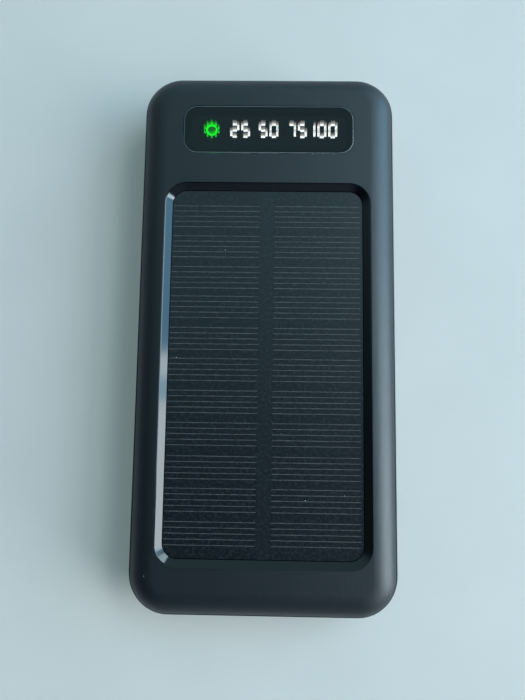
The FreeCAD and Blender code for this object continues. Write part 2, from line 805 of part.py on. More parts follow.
def socket(kind, offset, label, contact_columns, contact_rows):
    """Metal shell, insulator with its tongue, and contacts, hung under the board."""
    width, height, length, edge = (f"{kind}_socket_{size}"
                                   for size in ("width", "height", "length", "edge"))
    tongue_width, tongue_thickness, tongue_length, pitch = (
        f"{kind}_tongue_{part}" for part in ("width", "thickness", "length", "pitch"))
    middle = f"({board_base} - {height} / 2)"
    back = f"({socket_mouth} - {length})"
    mouth = amount(socket_mouth)
    end = amount(back)

    shell = new_body(f"{label}_shell")
    face = sketch_on(shell, "XZ", across=offset, up=middle, out=f"-{socket_mouth}")
    grow(shell, add_rectangle(face, width, height, edge), length)
    hollow(shell,
           lambda box: box.YLength < 1e-4 and min(abs(box.YMin - mouth), abs(box.YMin - end)) < 1e-4,
           "socket_sheet")

    if kind == "large":
        tongue_level = (f"({board_base} - {height} + socket_sheet + large_tongue_lift"
                        f" + {tongue_thickness} / 2)")
    else:
        tongue_level = middle
    insulator = new_body(f"{label}_insulator")
    sheet_and_gap = "(socket_sheet + insulator_clearance)"
    plug = sketch_on(insulator, "XZ", across=offset, up=middle, out=f"-({back} + insulator_depth)")
    add_rectangle(plug, f"{width} - 2 * {sheet_and_gap}", f"{height} - 2 * {sheet_and_gap}",
                  f"{edge} - {sheet_and_gap}")
    grow(insulator, plug, "insulator_depth")
    tongue = sketch_on(insulator, "XZ", across=offset, up=tongue_level, out=f"-({back} + insulator_depth)")
    grow(insulator, add_rectangle(tongue, tongue_width, tongue_thickness), tongue_length, reverse=True)

    contact_length = f"(contact_share * {tongue_length})"
    contacts = []
    for row in contact_rows:
        if row > 0:
            base = f"({tongue_level} + {tongue_thickness} / 2)"
        else:
            base = f"({tongue_level} - {tongue_thickness} / 2 - contact_thickness)"
        contacts += [block(f"{label}_contact_{row + 1}_{column}", f"{kind}_contact_width", contact_length,
                           "contact_thickness",
                           f"({offset} + {column - (contact_columns - 1) / 2} * {pitch})",
                           f"({back} + insulator_depth + {contact_length} / 2)", base)
                     for column in range(contact_columns)]
    return [shell, insulator, group(f"{label}_contacts", contacts)]


# ---- side button and its switch ----

def side_button():
    """Pill-shaped cap with a flange inside the wall and a post that presses the switch."""
    body = new_body("power_button")
    flange = sketch_on(body, "YZ", across="button_place", up=button_level, out=button_inside)
    add_rectangle(flange, "button_width + 2 * button_flange_lip", "button_height + 2 * button_flange_rise",
                  "pill_share * button_height")
    grow(body, flange, "button_flange")
    cap = sketch_on(body, "YZ", across="button_place", up=button_level,
                    out=f"{button_inside} + button_flange")
    add_rectangle(cap, "button_width", "button_height", "pill_share * button_height")
    grow(body, cap, f"case_width / 2 - button_setback - {button_inside} - button_flange")
    face = amount("case_width / 2 - button_setback")
    soften(body, lambda box: abs(box.XMin - face) < 1e-4 and abs(box.XMax - face) < 1e-4, "button_crown")
    pusher = sketch_on(body, "YZ", across="button_place", up=plunger_level, out=button_inside)
    grow(body, add_rectangle(pusher, "plunger_width", "plunger_height"), "button_post", reverse=True)
    return body


def tact_switch():
    """Side-push switch under the board's edge, hollow behind its plunger."""
    face = f"({plunger_tip} - plunger_reach)"
    low = f"({plunger_level} - plunger_height / 2)"
    plain = block("switch_plain", "switch_depth", "switch_width", "switch_height",
                  f"({face} - switch_depth / 2)", "button_place", f"({board_base} - switch_height)")
    bore_depth = "(plunger_root + button_travel + plunger_clearance)"
    bore = block("switch_bore", bore_depth, "plunger_width + 2 * plunger_clearance",
                 "plunger_height + 2 * plunger_clearance", f"({face} - {bore_depth} / 2)", "button_place",
                 f"({low} - plunger_clearance)")
    plunger_length = "(plunger_reach + plunger_root)"
    plunger = block("switch_plunger", plunger_length, "plunger_width", "plunger_height",
                    f"({plunger_tip} - {plunger_length} / 2)", "button_place", low)
    return [cut("switch_body", plain, bore), plunger]


# ---- battery ----

def pouch_cell(label, base):
    """Soft-cornered pouch with its thin sealed edge at the tab end."""
    body = new_body(label)
    outline = sketch_on(body, "XY", up="cell_place - cell_terrace / 2", out=base)
    add_rectangle(outline, "cell_width", "cell_length - cell_terrace", "cell_edge")
    grow(body, outline, "cell_height")
    top = amount(f"{base} + cell_height")
    bottom = amount(base)
    soften(body, lambda box: level(box, top) or level(box, bottom), "cell_round")
    edge = sketch_on(body, "XY", up=f"{cell_front} - cell_terrace",
                     out=f"{base} + (cell_height - cell_terrace_thickness) / 2")
    add_rectangle(edge, "cell_width - 2 * cell_edge", "2 * cell_terrace")
    grow(body, edge, "cell_terrace_thickness")
    return body


def cell_tabs():
    """Metal strips from each cell's sealed edge to the protection board between them."""
    strips = []
    for cell, base in (("lower", lower_cell_base), ("upper", upper_cell_base)):
        run = f"({base} + (cell_height - tab_thickness) / 2)"
        if cell == "lower":
            rise_base, rise = run, f"({protection_base} - {run})"
        else:
            rise_base = f"({protection_base} + protection_thickness)"
            rise = f"({run} + tab_thickness - {rise_base})"
        for side in ("-", ""):
            name = f"{cell}_{'left' if side else 'right'}"
            flat = block(f"tab_flat_{name}", "tab_width", "tab_reach", "tab_thickness",
                         side + "tab_offset", f"({cell_front} + tab_reach / 2)", run)
            turned = block(f"tab_turn_{name}", "tab_width", "tab_thickness", rise, side + "tab_offset",
                           f"({cell_front} + tab_reach - tab_thickness / 2)", rise_base)
            strips.append(joined(f"tab_{name}", [flat, turned]))
    return group("cell_tabs", strips)


def battery():
    strips = [block(f"cell_tape_{floor}_{'left' if side else 'right'}", "cell_tape_width",
                    "cell_tape_length", "cell_tape_thickness", f"{side}cell_tape_spread", "cell_place",
                    base)
              for floor, base in ((0, "wall"), (1, f"({upper_cell_base} - cell_tape_thickness)"))
              for side in ("-", "")]
    foam_base = f"({upper_cell_base} + cell_height)"
    pads = [block(f"foam_{number}", "foam_width", "foam_length", f"({bay_underside} - {foam_base})", "0",
                  f"(cell_place + {number - 1} * foam_spread)", foam_base) for number in range(3)]
    return [pouch_cell("battery_cell_lower", lower_cell_base),
            pouch_cell("battery_cell_upper", upper_cell_base),
            group("battery_tape", strips), group("foam_pads", pads), cell_tabs(),
            block("protection_board", "protection_width", "protection_depth", "protection_thickness", "0",
                  f"({protection_low} + protection_depth / 2)", protection_base)]


# ---- leads: straight runs joined by tangent arcs, swept with a round section ----

def lead(label, diameter, corners):
    """Round lead through the corners, each corner an arc as large as its two runs allow."""
    points = [FreeCAD.Vector(*(amount(part) for part in corner)) for corner in corners]
    radius = amount(diameter) / 2
    edges = []
    start = points[0]
    for number in range(1, len(points) - 1):
        before = points[number] - points[number - 1]
        after = points[number + 1] - points[number]
        room = min(run.Length * (0.9 if last else 0.45)
                   for run, last in ((before, number == 1), (after, number == len(points) - 2)))
        half_turn = before.getAngle(after) / 2
        arc_radius = room / math.tan(half_turn)
        print(f"{label}: arc radius {arc_radius:.2f}, {arc_radius / (2 * radius):.1f} diameters")
        before.normalize()
        after.normalize()
        arc_start = points[number] - before * room
        arc_end = points[number] + after * room
        inward = (after - before).normalize()
        middle = points[number] + inward * (arc_radius / math.cos(half_turn) - arc_radius)
        edges.append(Part.LineSegment(start, arc_start).toShape())
        edges.append(Part.Arc(arc_start, middle, arc_end).toShape())
        start = arc_end
    edges.append(Part.LineSegment(start, points[-1]).toShape())
    path = Part.Wire(edges)
    section = Part.Wire(Part.makeCircle(radius, points[0], points[1] - points[0]))
    item = doc.addObject("Part::Feature", label)
    item.Label = label
    item.Shape = path.makePipeShell([section], True, False)
    item.Placement = FreeCAD.Placement()
    if abs(item.Shape.Volume / (math.pi * radius ** 2 * path.Length) - 1) > 0.01:
        raise RuntimeError(f"{label} is not its section times its length")
    return item


def leads():
    made = []
    for colour, side in (("red", "-"), ("black", "")):
        x = side + "battery_lead_offset"
        start = f"{protection_low} + protection_depth"
        level_z = f"{protection_base} + protection_thickness / 2"
        end = f"{start} + battery_lead_reach"
        made.append(lead(f"battery_lead_{colour}", "battery_lead_diameter",
                         [(x, start, level_z), (x, end, level_z), (x, end, board_base)]))
    for number, colour in enumerate(("red", "black")):
        x = f"{solar_lead_offset} + {number} * solar_lead_pitch"
        end = "board_low + solar_lead_landing"
        made.append(lead(f"solar_lead_{colour}", "solar_lead_diameter",
                         [(x, "solar_lead_place", bay_base), (x, "solar_lead_place", solar_lead_level),
                          (x, end, solar_lead_level), (x, end, board_base)]))
    return made


# ---- the whole charger ----

parts = [front_shell(), back_shell(), *solar_panel(), *display(),
         main_board(), board_screws(), *board_parts(),
         *socket("large", "-large_socket_offset", "usb_a_left", 4, (1,)),
         *socket("large", "large_socket_offset", "usb_a_right", 4, (1,)),
         *socket("oval", "oval_socket_offset", "usb_c", 12, (1, -1)),
         *socket("small", "small_socket_offset", "micro_usb", 5, (1,)),
         side_button(), *tact_switch(), *battery(), *leads()]
doc.recompute()
failed = [item.Label for item in doc.Objects if {"Invalid", "Error"} & set(item.State)]
failed += [item.Label for item in parts if item.Shape.isNull() or not item.Shape.isValid()]
if failed:
    raise RuntimeError(f"these did not build: {failed}")
os.makedirs("parts", exist_ok=True)
for item in parts:
    item.Shape.exportStep(f"parts/{item.Label}.step")
print(f"{len(parts)} sub-parts written")
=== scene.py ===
import json
import math

import bmesh
import bpy
from mathutils import Matrix, Vector


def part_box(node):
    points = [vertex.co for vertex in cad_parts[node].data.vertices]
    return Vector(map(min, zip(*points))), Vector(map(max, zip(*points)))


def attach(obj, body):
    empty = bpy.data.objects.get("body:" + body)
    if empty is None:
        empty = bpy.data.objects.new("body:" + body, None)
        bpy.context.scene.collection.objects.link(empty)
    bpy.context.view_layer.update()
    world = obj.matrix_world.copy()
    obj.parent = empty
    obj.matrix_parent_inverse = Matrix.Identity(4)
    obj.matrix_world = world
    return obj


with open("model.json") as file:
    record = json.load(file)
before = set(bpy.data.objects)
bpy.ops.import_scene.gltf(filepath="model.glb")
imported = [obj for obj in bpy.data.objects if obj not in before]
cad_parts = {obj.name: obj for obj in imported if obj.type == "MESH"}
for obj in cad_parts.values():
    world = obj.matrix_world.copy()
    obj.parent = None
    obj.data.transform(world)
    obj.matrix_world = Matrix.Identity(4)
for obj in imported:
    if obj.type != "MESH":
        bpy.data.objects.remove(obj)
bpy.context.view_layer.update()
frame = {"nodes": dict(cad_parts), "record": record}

# Solar phone charger, in metres: +Z up through the solar panel, +Y towards the display end
# and +X to the right.

MM = 0.001
TOUCHING = 0.001 * MM
nodes = frame["nodes"]
scene = bpy.context.scene


# ---- helpers ----

def linear(code):
    """A hex sRGB colour as the linear RGBA that shaders take."""
    parts = [int(code[i:i + 2], 16) / 255 for i in (1, 3, 5)]
    return (*[p / 12.92 if p <= 0.04045 else ((p + 0.055) / 1.055) ** 2.4 for p in parts], 1.0)


def toned(colour, factor):
    """That colour, darker or lighter."""
    return (*[min(1.0, c * factor) for c in colour[:3]], 1.0)


def add(tree, kind, inputs=None, **settings):
    """A node of that kind with its settings and links.

    inputs go by number or name, and each is a value, a socket, or a node for its first result.
    """
    made = tree.nodes.new(kind)
    for name, value in settings.items():
        setattr(made, name, value)
    for name, value in (inputs or {}).items():
        named = made.inputs if isinstance(name, int) else {s.name: s for s in made.inputs if s.enabled}
        if isinstance(value, bpy.types.Node):
            value = next(s for s in value.outputs if s.enabled)
        if isinstance(value, bpy.types.NodeSocket):
            tree.links.new(value, named[name])
        else:
            named[name].default_value = value
    return made


def material(name):
    """An empty material and its node tree."""
    made = bpy.data.materials.new(name)
    made.use_nodes = True
    made.node_tree.nodes.clear()
    return made, made.node_tree


def surface(tree, inputs):
    """Ends a material in one Principled shader with those inputs."""
    shader = add(tree, "ShaderNodeBsdfPrincipled", inputs)
    add(tree, "ShaderNodeOutputMaterial", {"Surface": shader})


def coat(piece, finish):
    """That material alone on a piece."""
    piece.data.materials.clear()
    piece.data.materials.append(finish)


# ---- patterns and finishes ----

BARE_SHARE = 0.62   # of the places where a grain of dust could lie


def speckle(tree, where, spacing, size):
    """1 on small grains of dust of that size, in places about that far apart, and 0 elsewhere."""
    spots = add(tree, "ShaderNodeTexVoronoi", {"Vector": where, "Scale": 1 / spacing}).outputs
    near = add(tree, "ShaderNodeMath", {0: spots["Distance"], 1: size / spacing}, operation="LESS_THAN")
    lot = add(tree, "ShaderNodeSeparateColor", {0: spots["Color"]})
    taken = add(tree, "ShaderNodeMath", {0: lot, 1: BARE_SHARE}, operation="GREATER_THAN")
    return add(tree, "ShaderNodeMath", {0: near, 1: taken}, operation="MULTIPLY")


FLOW_MARK = 14 * MM


def moulded(name, code, roughness, grain, depth, ior=1.5, shade=0.12):
    """Injection-moulded plastic: even colour, with the mould's spark-eroded grain and slight flow marks."""
    made, tree = material(name)
    where = add(tree, "ShaderNodeTexCoord").outputs["Object"]
    fine = add(tree, "ShaderNodeTexNoise", {"Vector": where, "Scale": 1 / grain, "Detail": 3.0})
    flow = add(tree, "ShaderNodeTexNoise", {"Vector": where, "Scale": 1 / FLOW_MARK, "Detail": 2.0})
    darker, lighter = (toned(linear(code), factor) for factor in (1 - shade, 1 + shade))
    surface(tree, {
        "Base Color": add(tree, "ShaderNodeMix", {"Factor": flow, "A": darker, "B": lighter},
                          data_type="RGBA"),
        "Roughness": add(tree, "ShaderNodeMix", {"Factor": fine, "A": roughness * 0.88,
                                                 "B": roughness * 1.12}),
        "Normal": add(tree, "ShaderNodeBump", {"Height": fine, "Distance": depth}),
        "IOR": ior})
    return made


def worked_metal(name, code, roughness, stretch, line, depth):
    """Drawn, rolled or plated metal: fine lines along the way it was worked, some brighter than others."""
    made, tree = material(name)
    where = add(tree, "ShaderNodeTexCoord").outputs["Object"]
    across = add(tree, "ShaderNodeMapping", {"Vector": where, "Scale": stretch})
    lines = add(tree, "ShaderNodeTexNoise", {"Vector": across, "Scale": 1 / line, "Detail": 2.0})
    surface(tree, {
        "Base Color": add(tree, "ShaderNodeMix", {"Factor": lines, "A": toned(linear(code), 0.82),
                                                  "B": linear(code)}, data_type="RGBA"),
        "Roughness": add(tree, "ShaderNodeMix", {"Factor": lines, "A": roughness * 1.25,
                                                 "B": roughness * 0.8}),
        "Normal": add(tree, "ShaderNodeBump", {"Height": lines, "Distance": depth}),
        "Metallic": 1.0})
    return made


# The polished slope's outline: a rounded rectangle round the panel.
BAY_CENTRE = sum(corner.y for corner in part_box("panel_cover")) / 2
BAY_HALF_WIDTH = 28.2 * MM
BAY_HALF_LENGTH = 51.4 * MM
BAY_CORNER = 5.9 * MM
POLISH_FADE = 0.2 * MM
ANY_HEIGHT = 1.0   # more than any height here, so that height plays no part

WEAVE = 0.62 * MM
WAVE_AT_SCALE_1 = 2 * math.pi / 20   # metres from crest to crest of a Wave Texture
FACE_FLOW = 9 * MM
FACE_DUST = (15 * MM, 0.16 * MM)


def textured_abs():
    """Black ABS: a woven texture that breaks the face's shine, and a polished slope round the bay.

    The weave is drawn about 0.6 mm wide, the finest that still shows.
    """
    made, tree = material("abs_black_woven")
    where = add(tree, "ShaderNodeTexCoord").outputs["Object"]
    turned = add(tree, "ShaderNodeMapping", {"Vector": where, "Rotation": (0, 0, math.radians(45))})
    scale = WAVE_AT_SCALE_1 / (WEAVE / math.sqrt(2))
    rise = [add(tree, "ShaderNodeTexWave", {"Vector": turned, "Scale": scale}, wave_type="BANDS",
                bands_direction=axis).outputs["Fac"] for axis in "XY"]
    weave = add(tree, "ShaderNodeMath", dict(enumerate(rise)), operation="MAXIMUM")

    core = (BAY_HALF_WIDTH - BAY_CORNER, BAY_HALF_LENGTH - BAY_CORNER, ANY_HEIGHT)
    away = add(tree, "ShaderNodeVectorMath", {0: where, 1: (0, BAY_CENTRE, 0)}, operation="SUBTRACT")
    away = add(tree, "ShaderNodeVectorMath", {0: away}, operation="ABSOLUTE")
    past = add(tree, "ShaderNodeVectorMath", {0: away, 1: core}, operation="SUBTRACT")
    past = add(tree, "ShaderNodeVectorMath", {0: past, 1: (0, 0, 0)}, operation="MAXIMUM")
    past = add(tree, "ShaderNodeVectorMath", {0: past}, operation="LENGTH")
    polished = add(tree, "ShaderNodeMapRange", {"Value": past, "From Min": BAY_CORNER + POLISH_FADE,
                                                "From Max": BAY_CORNER - POLISH_FADE})

    flow = add(tree, "ShaderNodeTexNoise", {"Vector": where, "Scale": 1 / FACE_FLOW, "Detail": 3.0})
    dust = speckle(tree, where, *FACE_DUST)
    base = add(tree, "ShaderNodeMix", {"Factor": flow, "A": linear("#090C0E"), "B": linear("#0C1012")},
               data_type="RGBA")
    threads = add(tree, "ShaderNodeMix", {"Factor": weave, "A": base, "B": linear("#14191C")},
                  data_type="RGBA")
    skin = add(tree, "ShaderNodeMix", {"Factor": polished, "A": threads, "B": linear("#090B0C")},
               data_type="RGBA")
    satin = add(tree, "ShaderNodeMix", {"Factor": flow, "A": 0.38, "B": 0.45})
    unpolished = add(tree, "ShaderNodeMath", {0: 1.0, 1: polished}, operation="SUBTRACT")
    height = add(tree, "ShaderNodeMath", {0: weave, 1: unpolished}, operation="MULTIPLY")
    surface(tree, {
        "Base Color": add(tree, "ShaderNodeMix", {"Factor": dust, "A": skin, "B": linear("#8C9498")},
                          data_type="RGBA"),
        "Roughness": add(tree, "ShaderNodeMix", {"Factor": polished, "A": satin, "B": 0.09}),
        "Normal": add(tree, "ShaderNodeBump", {"Height": height, "Distance": 0.045 * MM, "Strength": 0.9}),
        "IOR": 1.54})
    return made


DYE_CLOUD = 6 * MM


def smoked_acrylic():
    """Polished cast acrylic, dyed grey-blue: a dark pane that lit figures shine through."""
    made, tree = material("acrylic_smoked")
    where = add(tree, "ShaderNodeTexCoord").outputs["Object"]
    haze = add(tree, "ShaderNodeTexNoise", {"Vector": where, "Scale": 1 / DYE_CLOUD, "Detail": 2.0})
    surface(tree, {
        "Base Color": add(tree, "ShaderNodeMix", {"Factor": haze, "A": linear("#4E585C"),
                                                  "B": linear("#566064")}, data_type="RGBA"),
        "Transmission Weight": 1.0, "Roughness": 0.0, "IOR": 1.49})
    return made


STRIP_HALF_WIDTH = 1.8 * MM
CELL_CLOUD = 16 * MM
FILM_GRAIN = 0.8 * MM
ROLLER_LINE = 0.7 * MM
FILM_DUST = (5.5 * MM, 0.11 * MM)


def laminate():
    """Matt PET film on dark cells: a soft sheen, faint roller lines and the strip between the cells.

    The film's grain is drawn 0.8 mm wide, as coarse as it needs to show.
    """
    made, tree = material("pet_laminate_matt")
    where = add(tree, "ShaderNodeTexCoord").outputs["Object"]
    across = add(tree, "ShaderNodeSeparateXYZ", {0: where})
    off_middle = add(tree, "ShaderNodeMath", {0: across}, operation="ABSOLUTE")
    strip = add(tree, "ShaderNodeMath", {0: off_middle, 1: STRIP_HALF_WIDTH}, operation="LESS_THAN")
    broad = add(tree, "ShaderNodeTexNoise", {"Vector": where, "Scale": 1 / CELL_CLOUD, "Detail": 2.0})
    cells = add(tree, "ShaderNodeMix", {"Factor": broad, "A": linear("#070A0D"), "B": linear("#0A0E12")},
                data_type="RGBA")
    backed = add(tree, "ShaderNodeMix", {"Factor": strip, "A": cells, "B": linear("#0F1315")},
                 data_type="RGBA")

    grain = add(tree, "ShaderNodeTexNoise", {"Vector": where, "Scale": 1 / FILM_GRAIN, "Detail": 3.0})
    cloud = add(tree, "ShaderNodeMapRange", {"Value": grain, "From Min": 0.47, "From Max": 0.70,
                                             "To Max": 0.45})
    clouded = add(tree, "ShaderNodeMix", {"Factor": cloud, "A": backed, "B": linear("#2A3236")},
                  data_type="RGBA")
    stretched = add(tree, "ShaderNodeMapping", {"Vector": where, "Scale": (1, 0.02, 1)})
    roller = add(tree, "ShaderNodeTexNoise", {"Vector": stretched, "Scale": 1 / ROLLER_LINE, "Detail": 2.0})
    faint = add(tree, "ShaderNodeMath", {0: roller, 1: 0.2}, operation="MULTIPLY")
    streaked = add(tree, "ShaderNodeMix", {"Factor": faint, "A": clouded, "B": linear("#1C2226")},
                   data_type="RGBA")
    dust = speckle(tree, where, *FILM_DUST)
    surface(tree, {
        "Base Color": add(tree, "ShaderNodeMix", {"Factor": dust, "A": streaked, "B": linear("#A8AFB2")},
                          data_type="RGBA"),
        "Roughness": add(tree, "ShaderNodeMix", {"Factor": grain, "A": 0.29, "B": 0.37}),
        "Normal": add(tree, "ShaderNodeBump", {"Height": grain, "Distance": 0.012 * MM}),
        "IOR": 1.57})
    return made


PASTE_BREAK = 1.6 * MM


def silver_fingers():
    """Screen-printed silver paste under matt film: thin grey lines, broken where the film hazes them."""
    made, tree = material("silver_paste_printed")
    where = add(tree, "ShaderNodeTexCoord").outputs["Object"]
    along = add(tree, "ShaderNodeMapping", {"Vector": where, "Scale": (1, 3, 1)})
    breaks = add(tree, "ShaderNodeTexNoise", {"Vector": along, "Scale": 1 / PASTE_BREAK, "Detail": 3.0,
                                              "Roughness": 0.7})
    shows = add(tree, "ShaderNodeMapRange", {"Value": breaks, "From Min": 0.30, "From Max": 0.60})
    surface(tree, {
        "Base Color": add(tree, "ShaderNodeMix", {"Factor": shows, "A": linear("#2A2A2A"),
                                                  "B": linear("#4F4D4B")}, data_type="RGBA"),
        "Roughness": 0.5, "IOR": 1.5})
    return made


MILK_CLOUD = 0.8 * MM


def lit(name, code, strength):
    """Milky resin with a lamp behind it: an even glow, slightly clouded."""
    made, tree = material(name)
    where = add(tree, "ShaderNodeTexCoord").outputs["Object"]
    milk = add(tree, "ShaderNodeTexNoise", {"Vector": where, "Scale": 1 / MILK_CLOUD, "Detail": 2.0})
    glow = add(tree, "ShaderNodeMix", {"Factor": milk, "A": toned(linear(code), 0.8), "B": linear(code)},
               data_type="RGBA")
    surface(tree, {"Base Color": glow, "Emission Color": glow, "Emission Strength": strength,
                   "Roughness": 0.4, "IOR": 1.5})
    return made


# What a thin layer of light in the window has besides its glow: no colour, edge or shine of its own.
UNSEEN = {"Base Color": (0, 0, 0, 1), "Specular IOR Level": 0.0, "Roughness": 1.0, "IOR": 1.0}


def light_shaft(name, near, far, strength, low, high):
    """Light caught by the dye above a lit figure: bright at the figure and gone at the window's face."""
    made, tree = material(name)
    where = add(tree, "ShaderNodeTexCoord").outputs["Object"]
    height = add(tree, "ShaderNodeSeparateXYZ", {0: where}).outputs["Z"]
    risen = add(tree, "ShaderNodeMapRange", {"Value": height, "From Min": low, "From Max": high})
    surface(tree, {
        "Emission Color": add(tree, "ShaderNodeMix", {"Factor": risen, "A": linear(near),
                                                      "B": linear(far)}, data_type="RGBA"),
        "Emission Strength": strength, "Alpha": 0.13, **UNSEEN})
    return made


def scattered(name, code, strength, node, radius):
    """Light scattered in the dye: brightest over the figure and gone at that distance."""
    made, tree = material(name)
    where = add(tree, "ShaderNodeTexCoord").outputs["Object"]
    low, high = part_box(node)
    middle = ((low.x + high.x) / 2, (low.y + high.y) / 2, 0.0)
    flat = add(tree, "ShaderNodeVectorMath", {0: where, 1: (1.0, 1.0, 0.0)}, operation="MULTIPLY")
    away = add(tree, "ShaderNodeVectorMath", {0: flat, 1: middle}, operation="DISTANCE")
    surface(tree, {
        "Emission Strength": add(tree, "ShaderNodeMapRange", {"Value": away, "From Min": radius,
                                                              "From Max": 0.0, "To Max": strength},
                                 interpolation_type="SMOOTHERSTEP"),
        "Emission Color": linear(code), "Alpha": 0.1, **UNSEEN})
    return made


# moulded takes a colour, roughness, the grain's width and depth, IOR, and how far the colour varies.
# worked_metal takes a colour, roughness, how its lines are stretched, and their width and depth.
FINISHES = {
    # satin black with a fine grain
    "black_abs": moulded("abs_black_moulded", "#17191B", 0.42, 0.25 * MM, 0.004 * MM, 1.54),
    # a dark glassy pane
    "smoked_acrylic": smoked_acrylic(),
    # a matt dark sheet with a soft sheen
    "panel_laminate": laminate(),
    # smooth blue-black, with clouds of colour
    "silicon": moulded("silicon_blue_black", "#0C1220", 0.25, 0.9 * MM, 0.001 * MM, 1.6, 0.3),
    # even, slightly dull black
    "black_strip": moulded("polyester_film_black", "#101113", 0.5, 0.3 * MM, 0.002 * MM),
    # black resist with the glass cloth just felt under it
    "board_black": moulded("glass_epoxy_black", "#141517", 0.45, 0.4 * MM, 0.004 * MM, 1.55),
    # glossy deep green over copper, uneven in shade
    "board_green": moulded("solder_mask_green", "#0F4A2A", 0.3, 1.1 * MM, 0.006 * MM, 1.55, 0.2),
    # dull black and slightly open
    "adhesive": moulded("acrylic_foam_adhesive_black", "#1B1B1C", 0.8, 0.2 * MM, 0.02 * MM),
    # soft off-white paper grain
    "tape_white": moulded("tissue_tape_white", "#D8D7D0", 0.75, 0.3 * MM, 0.015 * MM),
    # grey with open cells
    "foam": moulded("polyurethane_foam_grey", "#2C2D2F", 0.95, 0.35 * MM, 0.06 * MM, 1.5, 0.3),
    # pale grey metal, softly streaked
    "tin": worked_metal("copper_tinned", "#C4C3BF", 0.35, (1, 0.2, 1), 0.3 * MM, 0.002 * MM),
    # warm grey metal with fine rolling lines
    "nickel": worked_metal("nickel_strip_rolled", "#BDB8AE", 0.3, (0.06, 1, 1), 0.12 * MM, 0.001 * MM),
    # bright metal with fine drawing lines towards the mouth
    "steel_shell": worked_metal("steel_nickel_plated_drawn", "#C3C5C8", 0.26, (1, 0.05, 1), 0.1 * MM,
                                0.001 * MM),
    # bright pale gold
    "contact_gold": worked_metal("copper_alloy_gold_flashed", "#E0B65C", 0.22, (1, 0.1, 1), 0.1 * MM,
                                 0.0008 * MM),
    # even milky white
    "insulator_white": moulded("nylon_white", "#E2E3E0", 0.45, 0.2 * MM, 0.003 * MM, 1.53, 0.05),
    # even satin black
    "insulator_black": moulded("nylon_black", "#161617", 0.45, 0.2 * MM, 0.003 * MM, 1.53),
    # a warm white glow
    "diffuser_white": lit("resin_milky_lit_white", "#FFF3EC", 12.5),
    # a pure green glow
    "diffuser_green": lit("resin_milky_lit_green", "#0CFF18", 8.0),
    # chalky yellow
    "led_white": moulded("phosphor_yellow", "#E9DC9A", 0.5, 0.1 * MM, 0.002 * MM),
    # glossy pale green
    "led_green": moulded("epoxy_clear_green", "#8FE08C", 0.2, 0.2 * MM, 0.001 * MM),
    # near black, which stays dark behind the window
    "display_housing": moulded("polycarbonate_black", "#07080A", 0.5, 0.15 * MM, 0.003 * MM, 1.58),
    # rough dark grey
    "ferrite": moulded("ferrite_pressed", "#2B2B2D", 0.7, 0.12 * MM, 0.01 * MM, 1.8, 0.25),
    # pale metal with fine upright lines
    "can_aluminium": worked_metal("aluminium_can_drawn", "#C9CACC", 0.3, (1, 1, 0.08), 0.15 * MM,
                                  0.001 * MM),
    # dull black with a fine tooth
    "chip_epoxy": moulded("epoxy_moulded_black", "#151516", 0.6, 0.1 * MM, 0.006 * MM, 1.55),
    # tan with fired blotches
    "chip_ceramic": moulded("ceramic_fired_tan", "#9A7B57", 0.45, 0.15 * MM, 0.003 * MM, 1.6, 0.2),
    # cool grey metal, lightly mottled
    "screw_steel": worked_metal("steel_zinc_plated", "#A9ABAE", 0.35, (1, 1, 1), 0.2 * MM, 0.002 * MM),
    # soft silver with broad wrinkles
    "pouch_foil": worked_metal("aluminium_laminate_foil", "#BFC2C6", 0.38, (0.3, 1, 1), 1.4 * MM, 0.02 * MM),
    # smooth deep red, and smooth black
    "wire_red": moulded("pvc_red", "#B3120F", 0.4, 0.3 * MM, 0.003 * MM, 1.53),
    "wire_black": moulded("pvc_black", "#151516", 0.4, 0.3 * MM, 0.003 * MM, 1.53),
}

for part in frame["record"]["subparts"]:
    coat(nodes[part["node"]], FINISHES[part["material_slot"]])
coat(nodes["front_shell"], textured_abs())


# ---- added pieces, all fixed to the case ----

def fixed(name, mesh):
    """A plain mesh as a piece that rides on the case."""
    piece = bpy.data.objects.new(name, mesh)
    scene.collection.objects.link(piece)
    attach(piece, "case")


def node_tool(name, sizes):
    """An empty Geometry Nodes tree with those sizes as named inputs, and the sockets that give them."""
    tree = bpy.data.node_groups.new(name, "GeometryNodeTree")
    tree.interface.new_socket("Geometry", in_out="INPUT", socket_type="NodeSocketGeometry")
    for label, value in sizes.items():
        kind = "NodeSocketInt" if isinstance(value, int) else "NodeSocketFloat"
        tree.interface.new_socket(label, in_out="INPUT", socket_type=kind)
    tree.interface.new_socket("Geometry", in_out="OUTPUT", socket_type="NodeSocketGeometry")
    return tree, add(tree, "NodeGroupInput").outputs


def end_tool(tree, geometry, finish):
    """Ends a tree in plain geometry with that material."""
    real = add(tree, "GeometryNodeRealizeInstances", {0: geometry})
    painted = add(tree, "GeometryNodeSetMaterial", {"Geometry": real, "Material": finish})
    add(tree, "NodeGroupOutput", {0: painted})


def grown(name, start, tree, sizes):
    """The tree's result on a starting mesh, as a fixed piece."""
    seed = bpy.data.objects.new(name + "_seed", start)
    scene.collection.objects.link(seed)
    modifier = seed.modifiers.new("grow", "NODES")
    modifier.node_group = tree
    for item in tree.interface.items_tree:
        if item.name in sizes:
            modifier[item.identifier] = sizes[item.name]
    view = bpy.context.evaluated_depsgraph_get()
    mesh = bpy.data.meshes.new_from_object(seed.evaluated_get(view), depsgraph=view)
    mesh.name = name
    bpy.data.objects.remove(seed)
    fixed(name, mesh)


